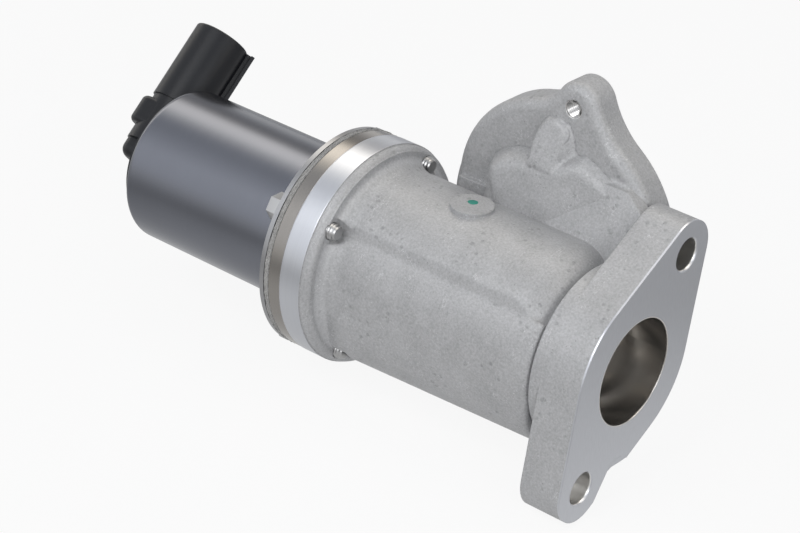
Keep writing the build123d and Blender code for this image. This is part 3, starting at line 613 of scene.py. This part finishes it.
portLook = {"place": (-43.0, 18.0), "radius": 15.1, "floor": 15.7, "depth": 20.0}


# A raised form of the casting between its front outline and its wider foot
def raisedForm(mesh, look):
    height, level, lean = look["frontPlane"]
    start, turn = look["turned"]
    corners = []
    for x, z in look["front"]:
        y = height + (z - level) * lean + max(0.0, x - start) * turn
        corners.append(mesh.verts.new((x * mm, y * mm, z * mm)))
    front = mesh.faces.new(corners)
    fold = [corners[place] for place in look["fold"]]
    if fold:
        bmesh.utils.face_split(front, fold[0], fold[1])
    for vert in extruded(mesh, mesh.faces[:]):
        place = min(range(len(corners)), key=lambda i: (corners[i].co - vert.co).length)
        x, z = look["foot"][place]
        vert.co = (x * mm, look["footY"] * mm, z * mm)
    rim = [edge for edge in mesh.edges if all(vert in corners for vert in edge.verts)
           and not all(vert in fold for vert in edge.verts)]
    bmesh.ops.bevel(mesh, geom=rim, offset=look["edge"] * mm, offset_type="OFFSET", affect="EDGES",
                    segments=4, profile=0.5, material=-1)
    bmesh.ops.recalc_face_normals(mesh, faces=mesh.faces)


# One smooth skin over separate forms, with soft roots where they meet
def blendedSkin(name, forms):
    look = skinLook
    whole = bmesh.new()
    for form in forms:
        data = bpy.data.meshes.new(name + "Form")
        form.to_mesh(data)
        form.free()
        whole.from_mesh(data)
    piece = placed(name, whole)
    remesh = piece.modifiers.new("skin", "REMESH")
    remesh.mode = "VOXEL"
    remesh.voxel_size = look["cell"] * mm
    smooth = piece.modifiers.new("soften", "SMOOTH")
    smooth.factor = look["soft"]
    smooth.iterations = look["rounds"]
    applyModifiers(piece)
    return piece


# The outlet port stays open through the grown forms
def openPort(piece):
    look = portLook
    x, z = look["place"]
    radius, depth = look["radius"] * mm, look["depth"] * mm
    mesh = bmesh.new()
    made = bmesh.ops.create_cone(
        mesh, cap_ends=True, segments=128, radius1=radius, radius2=radius, depth=depth,
    )
    verts = made["verts"]
    bmesh.ops.rotate(mesh, verts=verts, cent=(0, 0, 0), matrix=Matrix.Rotation(math.pi / 2, 3, "X"))
    bmesh.ops.translate(mesh, verts=verts, vec=(x * mm, look["floor"] * mm + depth / 2, z * mm))
    core = placed("portCore", mesh)
    port = piece.modifiers.new("port", "BOOLEAN")
    port.operation = "DIFFERENCE"
    port.solver = "EXACT"
    port.object = core
    applyModifiers(piece)
    bpy.data.objects.remove(core)


# Inspector's dot of green paint on the round pad
def paintDot():
    look = dotLook
    x, y = [part * mm for part in look["place"]]
    share = look["topShare"]
    mesh = bmesh.new()
    made = bmesh.ops.create_circle(mesh, cap_ends=True, segments=28, radius=look["radius"] * mm)
    bmesh.ops.translate(mesh, verts=made["verts"], vec=(x, y, look["pad"] * mm))
    top = extruded(mesh, mesh.faces[:])
    bmesh.ops.translate(mesh, verts=top, vec=(0, 0, look["thick"] * mm))
    bmesh.ops.scale(mesh, verts=top, vec=(share, share, 1.0), space=Matrix.Translation((-x, -y, 0)))
    for vert in mesh.verts:
        turn = math.atan2(vert.co.y - y, vert.co.x - x)
        vert.co.x += look["wobble"][0] * mm * math.sin(3 * turn + 0.8)
        vert.co.y += look["wobble"][1] * mm * math.sin(2 * turn)
    piece = finishPiece("greenDot", mesh, dotFinish, "housing")
    smoothBy(piece, 40)


paintDot()


# Outlet neck with its gusset, grown out of the manifold flange
def outletNeck():
    forms = []
    for look in (neckLook, ribLook):
        mesh = bmesh.new()
        raisedForm(mesh, look)
        forms.append(mesh)
    piece = blendedSkin("outletNeck", forms)
    openPort(piece)
    piece.data.materials.clear()
    piece.data.materials.append(finishes["cast_housing"])
    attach(piece, "housing")
    smoothBy(piece, 60)


outletNeck()

# Corners as (y, z)
flankLook = {
    "outline": (
        (2.4, -26.9), (-0.6, -27.0), (-3.2, -26.95), (-4.7, -26.9),
        (-6.1, -27.4), (-8.0, -24.0), (-6.0, -20.5), (2.0, -21.5),
    ),
    "front": -0.04,
    "back": -12.0,
}


# Straight flank where the inlet flange's round part runs into its lower lobe
def flangeFlank():
    look = flankLook
    mesh = bmesh.new()
    corners = [mesh.verts.new((look["front"] * mm, y * mm, z * mm)) for y, z in look["outline"]]
    added = extruded(mesh, [mesh.faces.new(corners)])
    bmesh.ops.translate(mesh, verts=added, vec=((look["back"] - look["front"]) * mm, 0, 0))
    piece = finishPiece("flangeFlank", mesh, finishes["cast_housing"], "housing")
    smoothBy(piece, 40)


flangeFlank()

threadLook = {
    "place": (-40.0, 54.48),
    "start": 18.95,
    "turns": 10,
    "pitch": 0.8,
    "crest": 2.1,
    "crestSpan": (0.44, 0.56),
    "root": 2.5,
    "wall": 2.6,
}


# Thread in the tapped hole at the top of the manifold flange
def tappedThread():
    look = threadLook
    mesh = bmesh.new()
    outline = [(look["start"], look["wall"])]
    for step in range(look["turns"]):
        along = look["start"] + step * look["pitch"]
        outline.append((along, look["root"]))
        for share in look["crestSpan"]:
            outline.append((along + look["pitch"] * share, look["crest"]))
    last = look["start"] + look["turns"] * look["pitch"]
    outline.extend([(last, look["root"]), (last, look["wall"])])
    turned(mesh, outline, (0.0, 0.0), 40)
    x, z = [part * mm for part in look["place"]]
    bmesh.ops.rotate(mesh, verts=mesh.verts, cent=(0, 0, 0), matrix=Matrix.Rotation(math.pi / 2, 3, "Z"))
    bmesh.ops.translate(mesh, verts=mesh.verts, vec=(x, 0, z))
    piece = finishPiece("tappedThread", mesh, finishes["thread"], "housing")
    smoothBy(piece, 28)


tappedThread()
print("pieces built")

cameraLook = {
    "place": (0.295607, -0.495775, 0.333070),
    "right": (0.77055, 0.63266, 0.07742),
    "up": (-0.35398, 0.32376, 0.87743),
    "back": (0.53005, -0.70350, 0.47342),
    "lens": 116.24,
    "sensor": 36.0,
    "clip": (0.01, 20.0),
}


def photoCamera():
    look = cameraLook
    data = bpy.data.cameras.new("photoCamera")
    data.lens = look["lens"]
    data.sensor_width = look["sensor"]
    data.clip_start, data.clip_end = look["clip"]
    camera = bpy.data.objects.new("photoCamera", data)
    bpy.context.scene.collection.objects.link(camera)
    right, up, back = Vector(look["right"]), Vector(look["up"]), Vector(look["back"])
    turn = Matrix((right, up, back)).transposed().to_quaternion().to_matrix().to_4x4()
    camera.matrix_world = Matrix.Translation(look["place"]) @ turn
    bpy.context.scene.camera = camera


photoCamera()

stageLook = {
    "floor": -0.0385,
    "floorSize": 8.0,
    "floorShare": 0.10,
    "floorColour": (0.92, 0.92, 0.92),
    "middle": (-0.08, 0.0, 0.0),
    "tent": 0.33,
    "tentColour": (0.96, 0.97, 1.0),
    # what metal sees of the floor, by the distance from the valve in metres
    "mirrored": ((0.03, 0.70), (0.09, 0.80), (0.17, 0.48), (0.40, 0.82), (0.9, 1.0)),
    # the studio's strip lamps as metal sees them, by the turn about the X axis in degrees
    "strips": (
        (-90, (0.86, 0.86, 0.86)),
        (-78, (0.92, 0.92, 0.92)),
        (-66, (0.62, 0.62, 0.63)),
        (-56, (0.40, 0.40, 0.41)),
        (-45, (0.56, 0.54, 0.52)),
        (-33, (2.6, 2.47, 2.27)),
        (-20, (2.6, 2.48, 2.29)),
        (-7, (1.34, 1.31, 1.25)),
        (4, (0.72, 0.74, 0.78)),
        (16, (0.70, 0.72, 0.76)),
        (34, (0.88, 0.90, 0.94)),
        (54, (1.16, 1.18, 1.22)),
        (78, (1.14, 1.16, 1.20)),
        (90, (1.00, 1.01, 1.03)),
    ),
    "stripRange": 2.7,
    # the floor behind the valve as metal sees it, and where it begins and is full
    "behind": (0.34, 0.35, 0.38),
    "behindRange": (0.08, 0.5),
}
white = (1.0, 1.0, 1.0)


def clearedBoard(tree):
    tree.nodes.clear()
    return NodeBoard(tree)


# Floor that the camera sees white, metal sees shaded and the lamps find pale
def paleFloor():
    look = stageLook
    mesh = bmesh.new()
    made = bmesh.ops.create_grid(mesh, x_segments=1, y_segments=1, size=look["floorSize"] / 2)
    bmesh.ops.translate(mesh, verts=made["verts"], vec=(0, 0, look["floor"]))
    floor = placed("floor", mesh)
    material = bpy.data.materials.new("paleFloor")
    material.use_nodes = True
    board = clearedBoard(material.node_tree)
    where = board.node("ShaderNodeTexCoord", {}, {}, "Object")
    inputs = {0: where, 1: look["middle"]}
    reach = board.node("ShaderNodeVectorMath", {"operation": "DISTANCE"}, inputs, "Value")
    far = look["mirrored"][-1][0]
    stops = [(reached / far, (share,) * 3) for reached, share in look["mirrored"]]
    mirrored = board.node("ShaderNodeValToRGB", {"stops": stops}, {0: reach / far})
    behind = board.node("ShaderNodeSeparateXYZ", {}, {0: where}, "Y").rise(*look["behindRange"])
    mirrored = board.tint(mirrored, board.blend(behind, white, look["behind"]))
    seen = board.node("ShaderNodeLightPath", {}, {}, "Is Camera Ray")
    glossy = board.node("ShaderNodeLightPath", {}, {}, "Is Glossy Ray")
    through = board.node("ShaderNodeLightPath", {}, {}, "Is Transmission Ray")
    paper = board.blend(seen, mirrored, white)
    plain = board.node("ShaderNodeBsdfDiffuse", {}, {"Color": look["floorColour"]})
    glow = board.node("ShaderNodeEmission", {}, {"Color": paper, "Strength": 1.0})
    share = seen.larger(glossy).larger(through) * (1 - look["floorShare"])
    mix = board.node("ShaderNodeMixShader", {}, {0: share, 1: plain, 2: glow})
    board.node("ShaderNodeOutputMaterial", {}, {0: mix})
    floor.data.materials.append(material)


paleFloor()


# Studio surround: a plain pale tent, in which metal sees long strip lamps along the X axis
def studioWorld():
    look = stageLook
    world = bpy.data.worlds.new("studio")
    bpy.context.scene.world = world
    world.use_nodes = True
    board = clearedBoard(world.node_tree)
    where = board.node("ShaderNodeTexCoord", {}, {}, "Generated")
    across = board.node("ShaderNodeSeparateXYZ", {}, {0: where}, "Y")
    height = board.node("ShaderNodeSeparateXYZ", {}, {0: where}, "Z")
    turn = (across * -1.0).calc("ARCTAN2", height)
    stops = []
    for angle, colour in look["strips"]:
        stops.append((0.5 + angle / 180, tuple(part / look["stripRange"] for part in colour)))
    strips = board.node("ShaderNodeValToRGB", {"stops": stops}, {0: turn / math.pi + 0.5})
    glossy = board.node("ShaderNodeLightPath", {}, {}, "Is Glossy Ray")
    seen = board.node("ShaderNodeLightPath", {}, {}, "Is Camera Ray")
    tent = board.node("ShaderNodeBackground", {}, {"Color": look["tentColour"], "Strength": look["tent"]})
    lamps = board.node("ShaderNodeBackground", {}, {"Color": strips, "Strength": look["stripRange"]})
    paper = board.node("ShaderNodeBackground", {}, {"Color": white, "Strength": 1.0})
    mix = board.node("ShaderNodeMixShader", {}, {0: glossy, 1: tent, 2: lamps})
    mix = board.node("ShaderNodeMixShader", {}, {0: seen, 1: mix, 2: paper})
    board.node("ShaderNodeOutputWorld", {}, {0: mix})


studioWorld()

lampLook = {
    "keyPanel": {
        "place": (-0.2, -0.76, 0.76),
        "aim": (-0.08, 0.0, 0.0),
        "size": (0.7, 0.5),
        "power": 3.3,
    },
    "topPanel": {
        "place": (-0.1, 0.15, 0.95),
        "aim": (-0.08, 0.0, 0.0),
        "size": (0.9, 0.5),
        "power": 0.8,
    },
    "frontPanel": {
        "place": (0.75, -0.55, 0.42),
        "aim": (-0.05, 0.0, 0.0),
        "size": (0.5, 0.5),
        "power": 2.3,
    },
}


def softPanel(name, look):
    data = bpy.data.lights.new(name, "AREA")
    data.shape = "RECTANGLE"
    data.size, data.size_y = look["size"]
    data.energy = look["power"]
    lamp = bpy.data.objects.new(name, data)
    bpy.context.scene.collection.objects.link(lamp)
    lamp.location = look["place"]
    direction = Vector(look["aim"]) - Vector(look["place"])
    lamp.rotation_mode = "QUATERNION"
    lamp.rotation_quaternion = direction.to_track_quat("-Z", "Y")


for name, look in lampLook.items():
    softPanel(name, look)

bpy.context.scene.view_settings.view_transform = "Standard"
print("stage, lights and camera set")
